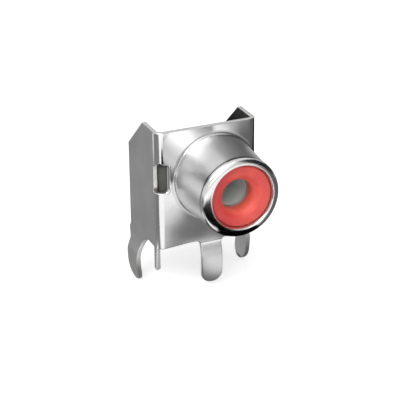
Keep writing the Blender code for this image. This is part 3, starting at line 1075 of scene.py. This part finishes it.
def plated_material():
    """Bright plating over drawn sheet: a soft mirror, with the press's relief and dullness, and
    painted shade.
    """
    material, tree, shader = shaded("plated_sheet_fine")
    wide, fine = tree.noise(0.35, 2.0), tree.noise(9.0, 4.0)
    x, y, rise, radius = tree.barrel_place()
    dark, dull_crease = painted_shade_and_dullness(tree, x, y, rise, radius)
    tree.put(1.0, shader["Metallic"])
    # The painted shade darkens the plating in the crease and the groove
    tree.put(tree.mixed(dark, tree.tinted(wide, PLATING), PAINTED_SHADE), shader["Base Color"])

    # The drawn wall is dull from its root on, a little less towards the lip, which is bright
    barrel = tree.maths("MULTIPLY", tree.ranged(y, 0.0, 1.0, -0.1, -0.9),
                        tree.ranged(y, 1.0, 0.75, -1.0, GROOVE_Y + 0.6),
                        tree.ranged(y, 1.0, 0.35, GROOVE_Y + 0.25, GROOVE_Y))
    legs = tree.ranged(rise, LEG_DULL, 0.0, -AXIS_HEIGHT - 0.7, -AXIS_HEIGHT)
    dull = tree.maths("ADD", tree.maths("MULTIPLY", barrel, BARREL_DULL), dull_crease, legs)
    rolled = tree.ranged(fine, *PLATING_ROUGH)
    tree.put(tree.maths("ADD", rolled, dull), shader["Roughness"])

    # Relief: the plate rises towards the barrel, with slow waves and a fine grain on it
    outwards = tree.maths("DIVIDE", tree.maths("SUBTRACT", BASE_RADIUS, radius), DRAW_REACH)
    drawn = tree.maths("MULTIPLY", tree.maths("EXPONENT", outwards), tree.bell(y, 0.0, DRAW_FLAT))
    relief = tree.bumped(drawn, DRAW_RISE)
    relief = tree.bumped(wide, 0.02, 0.3, relief)
    tree.put(tree.bumped(fine, 0.0008, 0.4, relief), shader["Normal"])
    return material


def cut_edge_material():
    """The sheared edge of the sheet, duller than its faces; painted shade at the sill and leg
    tips.
    """
    material, tree, shader = shaded("cut_edge_fine")
    grain = tree.noise(5.0, 3.0)
    x, y, rise, _radius = tree.barrel_place()
    # Painted shade along the window's sill and on the leg tips near the table
    sill = tree.bell(rise, WINDOW_BOTTOM - AXIS_HEIGHT, 0.5)
    sill = tree.maths("MULTIPLY", tree.ranged(sill, 0.0, 1.0, 0.0, 0.5),
                      tree.ranged(x, 1.0, 0.0, -5.2, -4.9))
    tips = tree.maths("MULTIPLY",
                      tree.ranged(rise, 0.0, 0.8, -AXIS_HEIGHT - 2.0, -AXIS_HEIGHT - 3.6),
                      tree.ranged(y, 0.0, 1.0, 1.0, 3.0))
    dark = tree.maths("MAXIMUM", sill, tips)
    tree.put(0.4, shader["Metallic"])
    tree.put(tree.mixed(dark, tree.tinted(grain, SHEARED), SHEARED_PAINTED_SHADE), shader["Base Color"])
    tree.put(tree.ranged(grain, *SHEARED_ROUGH), shader["Roughness"])
    tree.put(tree.bumped(grain, 0.006, 0.5), shader["Normal"])
    return material


def red_material():
    """Satin moulding that lets some light through; painted light in the flare, painted shade at
    left.
    """
    material, tree, shader = shaded("red_moulding_fine")
    wide, fine = tree.noise(0.5, 2.0), tree.noise(14.0, 3.0)
    x, _y, _rise, radius = tree.barrel_place()
    # Painted shade across the face: darker red to the left, more orange to the right
    across = tree.ranged(x, -0.25, 0.25, -LIP_RADIUS, LIP_RADIUS)
    face = tree.tinted(tree.maths("ADD", wide, across), RED)
    # Painted light in the bore's flare
    flare = tree.ranged(radius, 1.0, 0.0, PIN_BORE + 0.02, PIN_BORE + 0.35)
    tree.put(tree.mixed(flare, face, RED_PAINTED_LIGHT), shader["Base Color"])
    tree.put(tree.ranged(fine, *RED_ROUGH), shader["Roughness"])
    tree.put(0.4, shader["Specular IOR Level"])
    tree.put(0.6, shader["Subsurface Weight"])
    tree.put((1.0, 0.3, 0.25), shader["Subsurface Radius"])
    tree.put(1.4 * MM, shader["Subsurface Scale"])
    tree.put(tree.bumped(fine, 0.004, 0.4), shader["Normal"])
    return material


def black_material():
    material, tree, shader = shaded("black_moulding_fine")
    wide, fine = tree.noise(0.6, 2.0), tree.noise(12.0, 4.0)
    tree.put(tree.tinted(wide, BLACK), shader["Base Color"])
    tree.put(tree.ranged(fine, *BLACK_ROUGH), shader["Roughness"])
    tree.put(tree.bumped(fine, 0.008, 0.5), shader["Normal"])
    return material


def contact_material():
    """Tinned strip: pale in the bore, with painted shade at its mouth, and greyer behind."""
    material, tree, shader = shaded("tinned_contact_fine")
    wide, grain = tree.noise(0.7, 2.0), tree.noise(6.0, 3.0, (1.0, 0.15, 1.0))
    _x, y, _rise, _radius = tree.barrel_place()
    strip = tree.mixed(tree.ranged(y, 0.0, 1.0, -0.5, 0.5), tree.tinted(wide, SLEEVE),
                       tree.tinted(wide, TAIL))
    # Painted shade round the sleeve's mouth
    rim = tree.ranged(y, 1.0, 0.0, -SLEEVE_MOUTH + 0.08, -SLEEVE_MOUTH + 0.3)
    tree.put(tree.ranged(y, 0.2, 0.85, -0.5, 0.5), shader["Metallic"])
    tree.put(tree.mixed(rim, strip, SLEEVE_MOUTH_PAINTED_SHADE), shader["Base Color"])
    tree.put(tree.ranged(grain, *CONTACT_ROUGH), shader["Roughness"])
    tree.put(tree.bumped(grain, 0.004, 0.4), shader["Normal"])
    return material


def dress(obj, node, slot, *materials):
    for material in materials:
        obj.data.materials.append(material)
    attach(obj, "root")
    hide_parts(node)


# Stage, light and camera

def pale_material(name, grey, glow):
    """A pale surface that looks white, also in reflections, and keeps its shadows."""
    material, tree, shader = shaded(name)
    tree.put((grey, grey, grey), shader["Base Color"])
    tree.put(0.9, shader["Roughness"])
    tree.put(0.0, shader["Specular IOR Level"])
    tree.put(WHITE, shader["Emission Color"])
    tree.put(tree.maths("MULTIPLY", tree.background_rays(), glow), shader["Emission Strength"])
    return material


def flat_square(name, side):
    """A flat square object with its side in metres."""
    bm = bmesh.new()
    bmesh.ops.create_grid(bm, x_segments=1, y_segments=1, size=side / 2)
    mesh = bpy.data.meshes.new(name)
    bm.to_mesh(mesh)
    bm.free()
    return in_scene(name, mesh)


def build_floor():
    """The table, which the leg tips touch."""
    floor = flat_square("floor", FLOOR_SIZE * MM)
    floor.location.z = -LEG_TIP * MM
    floor.data.materials.append(pale_material("floor_pale", FLOOR_GREY, FLOOR_GLOW))


def build_world():
    """White where it is seen or mirrored, with a lower level of light on the part."""
    world = bpy.data.worlds.new("studio")
    tree = Tree(world)
    background = tree.nodes["Background"].inputs
    tree.put(WHITE, background["Color"])
    tree.put(tree.ranged(tree.background_rays(), WORLD_LEVEL, 1.0, 0.0, 1.0),
             background["Strength"])
    bpy.context.scene.world = world


def direction(azimuth, elevation):
    """Unit vector towards a place; azimuth 0 is in front of the barrel and 90 to its right."""
    a, e = math.radians(azimuth), math.radians(elevation)
    return Vector((math.sin(a) * math.cos(e), -math.cos(a) * math.cos(e), math.sin(e)))


def add_lamp(name, azimuth, elevation, distance, width, height, radiance):
    """A soft box that faces the object; its brightness is given as it shows in a mirror."""
    light = bpy.data.lights.new(name, "AREA")
    light.shape = "RECTANGLE"
    light.size = width * MM
    light.size_y = height * MM
    light.energy = radiance * math.pi * light.size * light.size_y
    lamp = in_scene(name, light)
    towards = direction(azimuth, elevation)
    lamp.location = (Vector(AIM) + towards * distance) * MM
    lamp.rotation_euler = towards.to_track_quat("Z", "Y").to_euler()
    lamp.visible_camera = False


def card_material(name, grey, soft):
    """A card of one brightness whose edges fade out over a share of its size."""
    material = bpy.data.materials.new(name)
    tree = Tree(material)
    tree.nodes.clear()
    output = tree.nodes.new("ShaderNodeOutputMaterial")
    clear = tree.nodes.new("ShaderNodeBsdfTransparent")
    card = tree.nodes.new("ShaderNodeEmission")
    tree.put((grey, grey, grey), card.inputs["Color"])
    across, along = (
        tree.ranged(tree.maths("ABSOLUTE", value), 0.0, 1.0, 0.5, 0.5 - soft, "SMOOTHSTEP")
        for value in tree.place()[:2])
    mix = tree.nodes.new("ShaderNodeMixShader")
    tree.put(tree.maths("MULTIPLY", across, along), mix.inputs["Fac"])
    tree.put(clear.outputs[0], mix.inputs[1])
    tree.put(card.outputs[0], mix.inputs[2])
    tree.put(mix.outputs[0], output.inputs["Surface"])
    material.cycles.emission_sampling = "NONE"
    return material


def add_card(name, centre, towards, width, height, grey, soft, spin=0.0):
    """A card that only reflections see."""
    card = flat_square(name, 1.0)
    card.location = Vector(centre) * MM
    turned = Vector(towards).to_track_quat("Z", "Y") @ Quaternion(UP, math.radians(spin))
    card.rotation_euler = turned.to_euler()
    card.scale = (width * MM, height * MM, 1.0)
    card.data.materials.append(card_material(name, grey, soft))
    card.visible_camera = False
    card.visible_diffuse = False
    card.visible_shadow = False
    card.visible_transmission = False


def build_lights():
    for name, row in LAMPS.items():
        add_lamp(name, *row)
    for layer, (name, (x, y, *row)) in enumerate(TABLE_CARDS.items(), 1):
        add_card(name, (x, y, CARD_LIFT * layer - LEG_TIP), UP, *row)
    for name, row in HUNG_CARDS.items():
        add_card(name, *row)
    for name, (azimuth, elevation, *row) in FAR_CARDS.items():
        towards = direction(azimuth, elevation)
        add_card(name, Vector(AIM) + towards * CARD_DISTANCE, -towards, *row)


def build_camera():
    """The photograph's view: the angles and distance were fitted to the part's own points."""
    back = direction(CAMERA_AZIMUTH, CAMERA_ELEVATION)
    level = direction(CAMERA_AZIMUTH + 90, 0)
    upright = back.cross(level)
    roll = math.radians(CAMERA_ROLL)
    right = level * math.cos(roll) + upright * math.sin(roll)
    up = upright * math.cos(roll) - level * math.sin(roll)
    aim = Vector((-BARREL_OFFSET, 0, 0)) - right * AIM_RIGHT - up * AIM_UP
    matrix = Matrix((right, up, back)).transposed().to_4x4()
    matrix.translation = (aim + back * CAMERA_DISTANCE) * MM
    data = bpy.data.cameras.new("camera")
    data.sensor_width = SENSOR_WIDTH
    data.lens = FOCAL_PIXELS * SENSOR_WIDTH / IMAGE_PIXELS
    data.clip_start = CLIP_NEAR
    data.clip_end = CLIP_FAR
    camera = in_scene("camera", data)
    camera.matrix_world = matrix
    bpy.context.scene.camera = camera


def main():
    dress(build_shell(), "shell", "plated_sheet", plated_material(), cut_edge_material())
    dress(build_insulator(), "front_insulator", "red_moulding", red_material())
    dress(build_body(), "rear_body", "black_moulding", black_material())
    dress(build_contact(), "centre_contact", "tinned_contact", contact_material())
    build_floor()
    build_world()
    build_lights()
    build_camera()
    bpy.context.scene.view_settings.view_transform = "Standard"


main()
